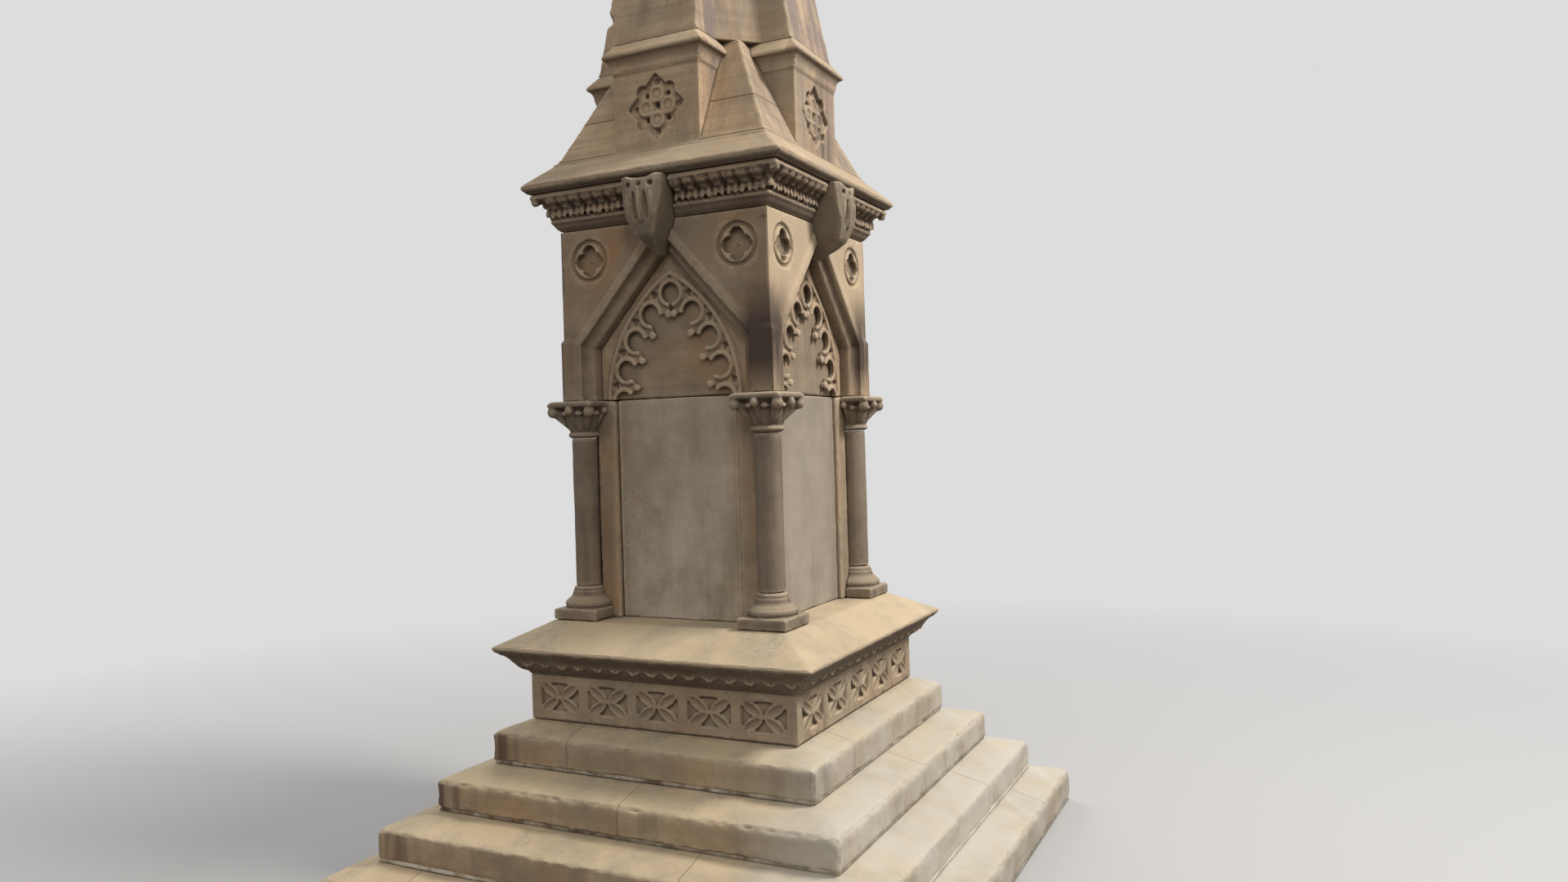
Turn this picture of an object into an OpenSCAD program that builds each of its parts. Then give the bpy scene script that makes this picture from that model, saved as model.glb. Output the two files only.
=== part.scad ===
// Gothic obelisk in stone, built up in courses from the ground.
// Sizes are in millimetres. +Z is up, the origin is on the ground in the middle of the plan,
// and the front face looks along -Y.

/* [Main] */
// Width across the upper walls, from which the other widths follow
wall_width = 1200; // [1000:2:1500]

/* [Steps] */
// Height of the bottom step
bottom_rise = 228; // [180:1:300]
// Height of each of the three steps above it
step_rise = 206; // [160:1:260]
// Distance from one riser back to the next
tread_run = 198; // [160:1:260]
// Width of the top tread in front of the frieze
top_run = 148; // [110:1:220]
// Fall of each tread towards its front edge
tread_fall = 48; // [10:1:70]
// Radius worn on the front edge of each step
nosing = 16; // [6:1:28]

/* [Pedestal] */
// Reach of the carved frieze block beyond the walls
frieze_reach = 155; // [130:1:220]
// Height of the carved frieze block
frieze_height = 230; // [200:1:290]
// Plain stone between two frieze panels
panel_rib = 58; // [36:1:80]
// Height of one frieze panel
panel_height = 140; // [110:1:160]
// Plain stone at each end of a row of panels
panel_end = 30; // [15:1:50]
// Depth of the sunk parts of a panel
panel_depth = 18; // [6:1:30]
// Width of one leaf of a panel
panel_leaf = 58; // [40:1:66]
// Reach of the cap beyond the frieze
cap_reach = 141; // [100:1:180]
// Height of the moulding under the cap edge
cap_moulding = 122; // [100:1:160]
// Height of the upright cap edge
cap_edge = 26; // [15:1:40]
// Rise of the sloping top of the cap
cap_slope = 118; // [60:1:160]

/* [Lower stage] */
// Height from the pedestal to the tops of the capitals
lower_height = 1122; // [1000:1:1300]
// Setback of the block between the columns behind the walls
lower_inset = 85; // [75:1:92]
// Plain strip between a tablet and the nook beside it
tablet_strip = 118; // [80:1:160]
// Thickness of a tablet
tablet_thickness = 80; // [40:1:120]
// Setback of the tablets behind the block face
tablet_setback = 28; // [10:1:45]

/* [Columns] */
// Distance of each column axis behind the walls
column_inset = 65; // [50:1:70]
// Side of a column plinth
plinth_size = 265; // [250:1:275]
// Height of a column plinth
plinth_height = 57; // [40:1:70]
// Height of the turned base above its plinth
base_height = 111; // [108:1:130]
// Radius of a column shaft
shaft_radius = 67; // [58:1:70]
// Depth by which a shaft is let into the nook behind it
shaft_let = 4; // [2:1:10]
// Height of a capital
capital_height = 192; // [180:1:220]
// Side of the square slab on top of a capital
abacus_size = 272; // [262:2:284]
// Radius of the corner leaf balls of a capital
crocket_radius = 27; // [20:1:30]

/* [Upper stage] */
// Height of the upper walls
upper_height = 877; // [850:1:940]
// Thickness of the gabled facing stones
facing_depth = 113; // [108:1:125]
// Width of wall beside the foot of a gable
pier_width = 52; // [45:1:60]
// Height of the gable springing above the capitals
gable_spring = 308; // [280:1:330]
// Height of the gable's point above the wall, behind the shield
gable_over = 36; // [10:1:60]
// Projection of the hood and the piers before the wall
hood_rise = 12; // [6:1:20]
// Distance of a roundel from the edge of its wall
roundel_inset = 170; // [155:1:180]
// Distance of a roundel below the cornice
roundel_drop = 164; // [150:1:185]
// Radius of a roundel
roundel_radius = 110; // [90:1:122]
// Depth of the foils of a roundel
roundel_depth = 34; // [22:1:50]

/* [Tracery] */
// Radius of the arch on which the foils sit
foil_arch = 644; // [630:1:655]
// Distance of the arch centre past the middle line
arch_shift = 347; // [340:1:355]
// Distance of the arch centre below the capitals' tops
arch_drop = 18; // [0:1:30]
// Angle from one foil to the next
foil_step = 14.2; // [13.8:0.1:14.6]
// Radius of the open part of a foil
foil_open = 52; // [44:1:58]
// Width of the roll round a foil
foil_roll = 17; // [10:1:20]
// Reach of a cusp inside the arch of foils
cusp_reach = 77; // [66:1:84]
// Radius of the ball on a cusp
cusp_ball = 17; // [10:1:20]
// Thickness of the tracery plate
tracery_depth = 22; // [14:1:30]
// Height of the rolls above the plate
roll_rise = 10; // [4:1:16]

/* [Shields] */
// Width of a shield
shield_width = 238; // [200:2:260]
// Height of a shield
shield_height = 376; // [340:1:400]
// Front of a shield before the wall
shield_reach = 186; // [160:1:200]
// Radius of the rounded front
shield_round = 200; // [160:1:260]

/* [Cornice and roof] */
// Height of the cornice moulding
cornice_height = 192; // [180:1:220]
// Reach of the cornice beyond the wall
cornice_reach = 114; // [100:1:130]
// Reach of the drip edge beyond the wall
drip_reach = 149; // [142:1:170]
// Height of the drip edge
drip_height = 36; // [28:1:50]
// Rise of the sloping roof above the drip edge
roof_rise = 131; // [100:1:160]

/* [Spire base] */
// Height from the roof to the foot of the spire
spire_base_height = 547; // [500:1:620]
// Width of the broach beside an arm
arm_inset = 350; // [330:1:370]
// Height of the moulded cap of an arm
arm_cap = 163; // [140:1:180]
// Reach of the cap beyond its arm
arm_cap_reach = 43; // [30:1:50]
// Reach of the broaches beyond the arms at the roof
broach_reach = 5; // [2:1:12]
// Slope inwards of the broaches from roof to spire
broach_lean = 258; // [230:1:270]
// Half diagonal of the square sunk in an arm
diaper_size = 162; // [120:1:170]
// Depth of the square sunk in an arm
diaper_depth = 20; // [8:1:30]

/* [Spire] */
// Height of the lower length of the spire
spire_lower = 1240; // [1000:10:1500]
// Height of the upper length of the spire
spire_upper = 1400; // [1200:10:1450]
// Height at which the sides of the spire would meet
spire_taper = 3180; // [3050:10:3400]
// Rise of the pointed head
head_rise = 250; // [150:10:300]
// Setback of the spire behind the arms at its foot
spire_setback = 10; // [4:1:20]
// Depth of the inner corners of the spire
spire_nook = 170; // [140:1:190]

/* [Hidden] */
$fn = 48;
upper_half = wall_width / 2;
frieze_half = upper_half + frieze_reach;
panel_pitch = 2 * (frieze_half - panel_end) / 5;
panel_width = panel_pitch - panel_rib;
lower_half = upper_half - lower_inset;
core_half = upper_half - facing_depth;
plinth_half = plinth_size / 2;
column_offset = upper_half - column_inset;
bed_half = column_offset + plinth_half;
nook_face = column_offset - shaft_radius + shaft_let;
tablet_half = nook_face - tablet_strip;
gable_half = upper_half - pier_width;
gable_apex = upper_height + gable_over;
gable_pitch = atan((gable_apex - gable_spring) / gable_half);
arm_reach = upper_half;
arm_half = upper_half - arm_inset;
broach_foot = upper_half + broach_reach;
broach_top = broach_foot - broach_lean;
spire_reach = arm_reach - spire_setback;
spire_half = arm_half - spire_setback / 2;
spire_corner = spire_reach - spire_nook;
arm_seat = arm_half + 40;
shield_half = shield_width / 2;
z_second = bottom_rise + step_rise;
z_top_step = z_second + step_rise;
z_frieze = z_top_step + step_rise;
z_cap = z_frieze + frieze_height;
z_bed = z_cap + cap_moulding + cap_edge + cap_slope;
z_shaft = z_bed + plinth_height + base_height;
z_upper = z_bed + lower_height;
z_capital = z_upper - capital_height;
z_cornice = z_upper + upper_height;
z_roof = z_cornice + cornice_height;
z_drip = z_roof + drip_height;
z_base = z_drip + roof_rise;
z_spire = z_base + spire_base_height;
z_joint = z_spire + spire_lower;
hood_flat = 58;
lap = 4;
mould_width = 110;
top_angle = acos(arch_shift / foil_arch);
foil_outer = foil_open + foil_roll;
arch_line = foil_arch + foil_outer + 10;

// Points of an arc round a centre
function arc(cx, cy, r, a0, a1, n = 6) =
    [for (i = [0:n]) [cx + r * cos(a0 + (a1 - a0) * i / n), cy + r * sin(a0 + (a1 - a0) * i / n)]];

// Points of a double curve between two points, level at both ends
function ogee(p, q, n = 8) =
    [for (i = [0:n]) [p[0] + (q[0] - p[0]) * i / n, p[1] + (q[1] - p[1]) * (1 - cos(180 * i / n)) / 2]];

// A half profile closed by its mirror image
function both(points) =
    concat(points, [for (i = [len(points) - 1:-1:0]) [-points[i][0], points[i][1]]]);

// A square block with the same half profile on all four sides, mitred at the corners
module mitred(points) {
    intersection() {
        rotate([90, 0, 0])
            linear_extrude(4000, center = true)
                polygon(both(points));
        rotate([90, 0, 90])
            linear_extrude(4000, center = true)
                polygon(both(points));
    }
}

// A flat outline in the front plane, as thick as the distance between two depths
module on_front(near, far) {
    translate([0, -near, 0])
        rotate([90, 0, 0])
            linear_extrude(far - near)
                children();
}

// A side profile drawn with X as depth from the middle, run across the front
module across_front(width) {
    rotate([90, 0, -90])
        linear_extrude(width, center = true)
            children();
}

// The quarter of the plan that belongs to the front face
module front_quarter(bottom, top) {
    translate([0, 0, bottom])
        linear_extrude(top - bottom)
            polygon([[0, 0], [1500, -1500], [-1500, -1500]]);
}

// One step course with a sloping tread and a worn edge
module step(half, run, bottom, rise) {
    slope = atan(tread_fall / run);
    edge = bottom + rise - tread_fall;
    centre = edge - nosing * (1 - sin(slope)) / cos(slope);
    mitred(concat(
        [[half, bottom]],
        arc(half - nosing, centre, nosing, 0, 90 - slope),
        [[half - run, bottom + rise]]
    ));
}

module bottom_step() {
    color("burlywood")
        step(frieze_half + top_run + 3 * tread_run, tread_run, 0, bottom_rise);
}

module third_step() {
    color("burlywood")
        step(frieze_half + top_run + 2 * tread_run, tread_run, bottom_rise, step_rise);
}

module second_step() {
    color("burlywood")
        step(frieze_half + top_run + tread_run, tread_run, z_second, step_rise);
}

module top_step() {
    color("burlywood")
        step(frieze_half + top_run, top_run, z_top_step, step_rise);
}

// One pointed leaf from the middle of a panel to a corner
module panel_leaf_outline() {
    length = norm([panel_width, panel_height]) / 2;
    r = (length * length / 4 + panel_leaf * panel_leaf / 4) / panel_leaf;
    translate([length / 2, 0])
        intersection() {
            translate([0, r - panel_leaf / 2])
                circle(r);
            translate([0, panel_leaf / 2 - r])
                circle(r);
        }
}

module panel_leaves() {
    angle = atan(panel_height / panel_width);
    for (a = [angle, 180 - angle, 180 + angle, -angle])
        rotate(a)
            panel_leaf_outline();
    circle(panel_leaf / 6);
}

// The parts of a panel sunk between its leaves
module panel_sinking() {
    difference() {
        square([panel_width, panel_height], center = true);
        panel_leaves();
    }
}

module frieze() {
    color("tan")
        difference() {
            translate([-frieze_half, -frieze_half, z_frieze])
                cube([2 * frieze_half, 2 * frieze_half, frieze_height]);
            for (side = [0:3], i = [-2:2])
                rotate([0, 0, side * 90])
                    translate([i * panel_pitch, 0, z_frieze + frieze_height / 2])
                        on_front(frieze_half - panel_depth, frieze_half + 10)
                            panel_sinking();
        }
}

module pedestal_cap() {
    under = z_cap + cap_moulding;
    color("tan")
        mitred(concat(
            [[frieze_half + 4, z_cap], [frieze_half + 14, z_cap + 14]],
            ogee([frieze_half + 18, z_cap + 18], [frieze_half + cap_reach - 22, under - 14]),
            [[frieze_half + cap_reach - 16, under], [frieze_half + cap_reach - 4, under + 2]],
            [[frieze_half + cap_reach, under + cap_edge], [bed_half, z_bed]]
        ));
}

// Plan of the lower block, with its four corner nooks and no tablets
module lower_plan() {
    difference() {
        square(2 * lower_half, center = true);
        for (side = [0:3])
            rotate(side * 90)
                translate([nook_face, nook_face])
                    square(lower_half);
    }
}

module lower_die() {
    slot = tablet_thickness + tablet_setback;
    color("tan")
        translate([0, 0, z_bed])
            linear_extrude(lower_height)
                difference() {
                    lower_plan();
                    for (side = [0:3])
                        rotate(side * 90)
                            translate([-tablet_half, lower_half - slot])
                                square([2 * tablet_half, slot + 10]);
                }
}

module tablet() {
    color("silver")
        translate([-tablet_half, -(lower_half - tablet_setback), z_bed])
            cube([2 * tablet_half, tablet_thickness, lower_height]);
}

module front_tablet() {
    tablet();
}

module right_tablet() {
    rotate([0, 0, 90])
        tablet();
}

module back_tablet() {
    rotate([0, 0, 180])
        tablet();
}

module left_tablet() {
    rotate([0, 0, 270])
        tablet();
}

// The lower block as a solid, for parts that are scribed to it
module lower_solid() {
    translate([0, 0, z_bed - 1])
        linear_extrude(lower_height + 2)
            lower_plan();
}

// Turned outline of a column base: a wide roll, a hollow and a neck ring
module base_outline() {
    roll = 20;
    wide = plinth_half - 6 - roll;
    polygon(concat(
        [[0, 0]],
        arc(wide, roll, roll, -90, 90),
        [[wide, 2 * roll + 4]],
        arc(shaft_radius + 53, base_height - 31, 36, 250, 180),
        [[shaft_radius + 17, base_height - 25]],
        arc(shaft_radius + 3, base_height - 14, 9, -70, 90),
        [[shaft_radius, base_height], [0, base_height]]
    ));
}

module column_base() {
    color("tan")
        difference() {
            translate([column_offset, -column_offset, z_bed])
                union() {
                    translate([-plinth_half, -plinth_half, 0])
                        cube([plinth_size, plinth_size, plinth_height]);
                    translate([0, 0, plinth_height])
                        rotate_extrude()
                            base_outline();
                }
            lower_solid();
        }
}

module front_right_base() {
    column_base();
}

module back_right_base() {
    rotate([0, 0, 90])
        column_base();
}

module back_left_base() {
    rotate([0, 0, 180])
        column_base();
}

module front_left_base() {
    rotate([0, 0, 270])
        column_base();
}

module column_shaft() {
    color("wheat")
        difference() {
            translate([column_offset, -column_offset, z_shaft])
                cylinder(r = shaft_radius, h = z_capital - z_shaft);
            lower_solid();
        }
}

module front_right_shaft() {
    column_shaft();
}

module back_right_shaft() {
    rotate([0, 0, 90])
        column_shaft();
}

module back_left_shaft() {
    rotate([0, 0, 180])
        column_shaft();
}

module front_left_shaft() {
    rotate([0, 0, 270])
        column_shaft();
}

// Turned outline of the bell of a capital, with its neck ring
module bell_outline() {
    bell = capital_height - 34;
    polygon(concat(
        [[0, 0], [shaft_radius, 0]],
        arc(shaft_radius + 6, 18, 12, -90, 90),
        [[shaft_radius + 3, 34]],
        arc(shaft_radius + 3 + 90, 60, 90, 180, 128),
        [[shaft_radius + 50, bell], [0, bell]]
    ));
}

// A leaf stalk that leans out of the bell and ends in a ball
module crocket(reach, ball) {
    foot = [shaft_radius, capital_height * 0.28];
    tip = [reach, capital_height - 28 - ball];
    translate([tip[0], 0, tip[1]])
        sphere(ball);
    translate([foot[0], 0, foot[1]])
        rotate([0, atan2(tip[0] - foot[0], tip[1] - foot[1]), 0])
            cylinder(r = ball * 0.58, h = norm(tip - foot));
}

module abacus() {
    half = abacus_size / 2;
    translate([0, 0, capital_height - 34])
        mitred([[half - 10, 0], [half, 8], [half, 22], [half - 14, 34]]);
}

module capital() {
    color("tan")
        difference() {
            translate([column_offset, -column_offset, z_capital])
                union() {
                    rotate_extrude()
                        bell_outline();
                    abacus();
                    for (a = [0:90:270]) {
                        rotate([0, 0, a + 45])
                            crocket(abacus_size * 0.6, crocket_radius);
                        rotate([0, 0, a])
                            crocket(abacus_size * 0.46, crocket_radius * 0.75);
                    }
                }
            lower_solid();
        }
}

module front_right_capital() {
    capital();
}

module back_right_capital() {
    rotate([0, 0, 90])
        capital();
}

module back_left_capital() {
    rotate([0, 0, 180])
        capital();
}

module front_left_capital() {
    rotate([0, 0, 270])
        capital();
}

module upper_core() {
    color("tan")
        translate([-core_half, -core_half, z_upper])
            cube([2 * core_half, 2 * core_half, upper_height]);
}

// Springing height and apex height of a gable line set in from its outer edge
function spring_at(inset) = apex_at(inset) - (gable_half - inset) * tan(gable_pitch);
function apex_at(inset) = gable_apex - inset / cos(gable_pitch);

// The gabled opening, set in from its outer edge
module gable_outline(inset) {
    half = gable_half - inset;
    polygon(both([[half, -10], [half, spring_at(inset)], [0, apex_at(inset)]]));
}

// Section of the gable moulding: hood, hollow and roll, as distance in and depth
function mould_section() =
    let (face = upper_half + hood_rise)
    concat(
        [[0, core_half], [0, upper_half - lap], [14, face], [hood_flat, face]],
        arc(hood_flat + 36, upper_half + 4, 36, 180, 270),
        arc(mould_width - 18, upper_half - 52, 18, 90, 0),
        [[mould_width, core_half]]
    );

// The moulding as one stone: up a jamb, up and down the two rakes, and down the other jamb
module gable_moulding() {
    section = mould_section();
    count = len(section);
    corners = concat(
        [for (p = section) [-gable_half + p[0], -p[1], -10]],
        [for (p = section) [-gable_half + p[0], -p[1], spring_at(p[0])]],
        [for (p = section) [0, -p[1], apex_at(p[0])]],
        [for (p = section) [gable_half - p[0], -p[1], spring_at(p[0])]],
        [for (p = section) [gable_half - p[0], -p[1], -10]]
    );
    walls = [
        for (run = [0:3], i = [0:count - 1])
            let (next = (i + 1) % count)
            [run * count + i, (run + 1) * count + i, (run + 1) * count + next, run * count + next],
    ];
    polyhedron(corners, concat(
        walls,
        [[for (i = [0:count - 1]) i]],
        [[for (i = [count - 1:-1:0]) 4 * count + i]]
    ));
}

// The wall outside the gable, with the piers that stand a little before it, let into the moulding
module wall() {
    face = upper_half + hood_rise;
    pier = face - gable_half + 14 + lap;
    on_front(core_half, upper_half)
        difference() {
            translate([-face, 0])
                square([2 * face, upper_height]);
            gable_outline(lap);
        }
    for (side = [-1, 1])
        translate([side * (face - pier / 2), 0, 0])
            across_front(pier)
                polygon([
                    [core_half, 0],
                    [face, 0],
                    [face, gable_spring - 6],
                    [upper_half, gable_spring + 2 * hood_rise],
                    [core_half, gable_spring + 2 * hood_rise],
                ]);
}

module quatrefoil(r) {
    for (a = [0:90:270])
        rotate(a)
            translate([r, 0])
                circle(r * 0.94);
}

// A sunk ring with four foils in its middle
module roundel_cut() {
    on_front(upper_half - 12, upper_half + 10)
        difference() {
            circle(roundel_radius);
            circle(roundel_radius - 22);
        }
    on_front(upper_half - roundel_depth, upper_half + 10)
        quatrefoil(roundel_radius * 0.38);
}

module gable() {
    color("tan")
        difference() {
            intersection() {
                translate([0, 0, z_upper])
                    union() {
                        wall();
                        gable_moulding();
                    }
                front_quarter(z_upper, z_cornice);
            }
            for (side = [-1, 1])
                translate([side * (upper_half - roundel_inset), 0, z_cornice - roundel_drop])
                    roundel_cut();
            shield_bed();
        }
}

module front_gable() {
    gable();
}

module right_gable() {
    rotate([0, 0, 90])
        gable();
}

module back_gable() {
    rotate([0, 0, 180])
        gable();
}

module left_gable() {
    rotate([0, 0, 270])
        gable();
}

// A point of the tracery, by its distance from the arch centre and its place along the arch
function on_arch(r, i) =
    [-arch_shift + r * cos(top_angle - foil_step * i), -arch_drop + r * sin(top_angle - foil_step * i)];

// Both halves of what is drawn on the right
module twice() {
    children();
    mirror([1, 0])
        children();
}

// The open light: foils joined by a zigzag that leaves the cusps standing
module open_light() {
    zigzag = [for (i = [0:4]) each [on_arch(foil_arch, i), on_arch(foil_arch - cusp_reach, i + 0.5)]];
    polygon(both([for (i = [8:-1:0]) zigzag[i]]));
    twice()
        for (i = [0:4])
            translate(on_arch(foil_arch, i))
                circle(foil_open);
}

module arch_band(outer, inner) {
    twice()
        intersection() {
            translate([-arch_shift, -arch_drop])
                difference() {
                    circle(outer);
                    circle(inner);
                }
            square([gable_half, upper_height]);
        }
}

// The raised lines: rolls round the foils, balls on the cusps and the arch
module raised_lines() {
    difference() {
        twice()
            for (i = [0:4])
                translate(on_arch(foil_arch, i))
                    circle(foil_outer);
        open_light();
    }
    twice()
        for (i = [0.5:1:3.5])
            translate(on_arch(foil_arch - cusp_reach, i))
                circle(cusp_ball);
    arch_band(arch_line + 16, arch_line);
}

// The drawing's size for the gable: it keeps to the opening in width and in height
tracery_size = min((gable_half - mould_width) / 438, apex_at(mould_width) / 749);

module tracery() {
    face = core_half + tracery_depth;
    color("wheat")
        translate([0, 0, z_upper])
            intersection() {
                union() {
                    on_front(core_half, face)
                        difference() {
                            gable_outline(mould_width);
                            scale(tracery_size)
                                open_light();
                        }
                    on_front(core_half, face + roll_rise)
                        intersection() {
                            gable_outline(mould_width);
                            scale(tracery_size)
                                raised_lines();
                        }
                }
                translate([-gable_half, -upper_half, 0])
                    cube([2 * gable_half, upper_half, upper_height]);
            }
}

module front_tracery() {
    tracery();
}

module right_tracery() {
    rotate([0, 0, 90])
        tracery();
}

module back_tracery() {
    rotate([0, 0, 180])
        tracery();
}

module left_tracery() {
    rotate([0, 0, 270])
        tracery();
}

// Outline of a shield, hung from the underside of the roof
module shield_outline() {
    r = (shield_half * shield_half + shield_height * shield_height) / shield_width;
    side = arc(shield_half - r, 0, r, 0, -asin(shield_height / r), 10);
    polygon(concat(
        side,
        [for (i = [9:-1:0]) [-side[i][0], side[i][1]]]
    ));
}

// The pocket in wall and cornice that takes the back of a shield
module shield_bed() {
    translate([0, 0, z_roof])
        on_front(upper_half - 50, upper_half + 400)
            shield_outline();
}

module shield() {
    front = upper_half + shield_reach;
    color("darkkhaki")
        intersection() {
            shield_bed();
            translate([0, shield_round - front, 0])
                cylinder(r = shield_round, h = z_spire);
            translate([0, 0, z_roof])
                across_front(shield_width)
                    polygon([
                        [upper_half - 60, 0],
                        [front - 18, 0],
                        [front, -66],
                        [front - 4, -100],
                        [front - 22, -shield_height * 0.55],
                        [front - 50, -shield_height * 0.76],
                        [front - 96, -shield_height * 0.87],
                        [front - 180, -shield_height],
                        [upper_half - 60, -shield_height],
                    ]);
        }
}

module front_shield() {
    shield();
}

module right_shield() {
    rotate([0, 0, 90])
        shield();
}

module back_shield() {
    rotate([0, 0, 180])
        shield();
}

module left_shield() {
    rotate([0, 0, 270])
        shield();
}

module cornice() {
    hollow = cornice_height - 71;
    color("peru")
        difference() {
            mitred(concat(
                [[upper_half, z_cornice], [upper_half + 8, z_cornice + 9]],
                ogee([upper_half + 10, z_cornice + 11], [upper_half + 37, z_cornice + 42], 6),
                [[upper_half + 39, z_cornice + 46], [upper_half + 39, z_cornice + 58]],
                [[upper_half + 26, z_cornice + 71]],
                [for (p = arc(0, 0, 1, 180, 100)) [
                    upper_half + 26 + (cornice_reach - 26) * (1 + p[0]) / (1 + cos(100)),
                    z_cornice + 71 + hollow * 0.72 * p[1] / sin(100),
                ]],
                [[upper_half + cornice_reach, z_roof - 20], [upper_half + cornice_reach - 12, z_roof]]
            ));
            for (side = [0:3])
                rotate([0, 0, side * 90])
                    shield_bed();
        }
}

module roof() {
    color("tan")
        mitred([
            [upper_half + cornice_reach + 6, z_roof],
            [upper_half + drip_reach - 6, z_roof + 12],
            [upper_half + drip_reach, z_drip],
            [broach_foot + 7, z_base - 6],
            [broach_foot + 1, z_base],
        ]);
}

// The square pyramid that shows as broaches between the arms
module broach_pyramid() {
    mitred([[broach_foot, z_base], [broach_top, z_spire]]);
}

// An arm with its cap, before it is cut to the broaches
module arm_solid() {
    foot = z_spire - arm_cap;
    cap = concat(
        [[0, z_base], [0, foot], [9, foot + 12], [9, foot + 26]],
        [for (p = arc(0, 0, 1, 180, 90)) [10 + (arm_cap_reach - 10) * (1 + p[0]), foot + 27 + 56 * p[1]]],
        [[arm_cap_reach, foot + 98], [-8, z_spire]]
    );
    intersection() {
        across_front(2 * arm_reach)
            polygon(concat([for (p = cap) [arm_reach + p[0], p[1]]], [[arm_seat, z_spire], [arm_seat, z_base]]));
        rotate([90, 0, 0])
            linear_extrude(4000, center = true)
                polygon(both([for (p = cap) [arm_half + p[0], p[1]]]));
    }
}

module arm() {
    color("tan")
        difference() {
            arm_solid();
            spire_base_mass();
            translate([0, 0, (z_base + z_spire - arm_cap) / 2 + 12])
                on_front(arm_reach - diaper_depth, arm_reach + 10)
                    rotate(45)
                        square(diaper_size * sqrt(2), center = true);
        }
}

// The mass behind the arms: a middle block and the corner broaches
module spire_base_mass() {
    difference() {
        broach_pyramid();
        for (side = [0:3])
            rotate([0, 0, side * 90])
                translate([-arm_half, -arm_reach - 100, z_base - 10])
                    cube([2 * arm_half, arm_reach + 100 - arm_seat, spire_base_height + 20]);
    }
}

module spire_base() {
    color("tan")
        spire_base_mass();
}

module front_arm() {
    arm();
}

module right_arm() {
    rotate([0, 0, 90])
        arm();
}

module back_arm() {
    rotate([0, 0, 180])
        arm();
}

module left_arm() {
    rotate([0, 0, 270])
        arm();
}

// Plan of the spire: four arms with a slanting face in each inner corner
module spire_plan() {
    half = spire_half;
    front = [[-half, -spire_reach], [half, -spire_reach], [half, -spire_corner], [spire_corner, -half]];
    polygon([for (a = [0:90:270], p = front) [p[0] * cos(a) - p[1] * sin(a), p[0] * sin(a) + p[1] * cos(a)]]);
}

// A length of the spire between two heights above its foot
module spire_length(low, high) {
    first = 1 - low / spire_taper;
    last = 1 - high / spire_taper;
    translate([0, 0, z_spire + low])
        linear_extrude(high - low, scale = last / first)
            scale(first)
                spire_plan();
}

module lower_spire() {
    color("wheat")
        spire_length(0, spire_lower);
}

module upper_spire() {
    top = spire_lower + spire_upper;
    color("wheat")
        intersection() {
            spire_length(spire_lower, top);
            mitred([
                [spire_reach, z_joint],
                [spire_reach * (1 - (top - head_rise) / spire_taper), z_spire + top - head_rise],
                [0, z_spire + top],
            ]);
        }
}

bottom_step();
third_step();
second_step();
top_step();
frieze();
pedestal_cap();
lower_die();
front_tablet();
right_tablet();
back_tablet();
left_tablet();
front_right_base();
back_right_base();
back_left_base();
front_left_base();
front_right_shaft();
back_right_shaft();
back_left_shaft();
front_left_shaft();
front_right_capital();
back_right_capital();
back_left_capital();
front_left_capital();
upper_core();
front_gable();
right_gable();
back_gable();
left_gable();
front_tracery();
right_tracery();
back_tracery();
left_tracery();
front_shield();
right_shield();
back_shield();
left_shield();
cornice();
roof();
front_arm();
right_arm();
back_arm();
left_arm();
spire_base();
lower_spire();
upper_spire();
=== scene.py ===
# %% [markdown]
# # A weathered Gothic obelisk
# The obelisk is a stack of carved sandstone courses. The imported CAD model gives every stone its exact
# size and place, and this lesson turns those crisp solids into old stone: carved with leaves and flowers,
# softened by rain, chipped along the edges, stained and spotted with lichen.

# %% Load the frame
import math

import bpy
import numpy as np
from mathutils import Matrix, Vector


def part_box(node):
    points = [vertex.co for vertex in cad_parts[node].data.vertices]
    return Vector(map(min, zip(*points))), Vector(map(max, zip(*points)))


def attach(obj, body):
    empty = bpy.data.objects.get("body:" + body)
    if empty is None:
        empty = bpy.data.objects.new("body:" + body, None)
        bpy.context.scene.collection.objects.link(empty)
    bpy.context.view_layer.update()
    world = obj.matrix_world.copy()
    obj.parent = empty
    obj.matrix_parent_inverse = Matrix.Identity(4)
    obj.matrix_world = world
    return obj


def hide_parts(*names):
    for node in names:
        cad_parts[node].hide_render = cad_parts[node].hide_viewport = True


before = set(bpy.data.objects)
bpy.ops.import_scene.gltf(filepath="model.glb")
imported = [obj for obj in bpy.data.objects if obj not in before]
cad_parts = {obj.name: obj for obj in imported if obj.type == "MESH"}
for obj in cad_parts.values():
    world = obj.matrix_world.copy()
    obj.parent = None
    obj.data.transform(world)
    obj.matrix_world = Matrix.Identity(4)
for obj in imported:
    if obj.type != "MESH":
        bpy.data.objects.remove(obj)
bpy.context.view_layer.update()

# %% [markdown]
# ## Camera
# The viewpoint was worked out by fitting the photograph's straight edges: about eye height above the top
# step, to the right of the front face, level, with a slight tilt of the horizon. The three axes of the
# camera are written straight into its matrix.

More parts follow.
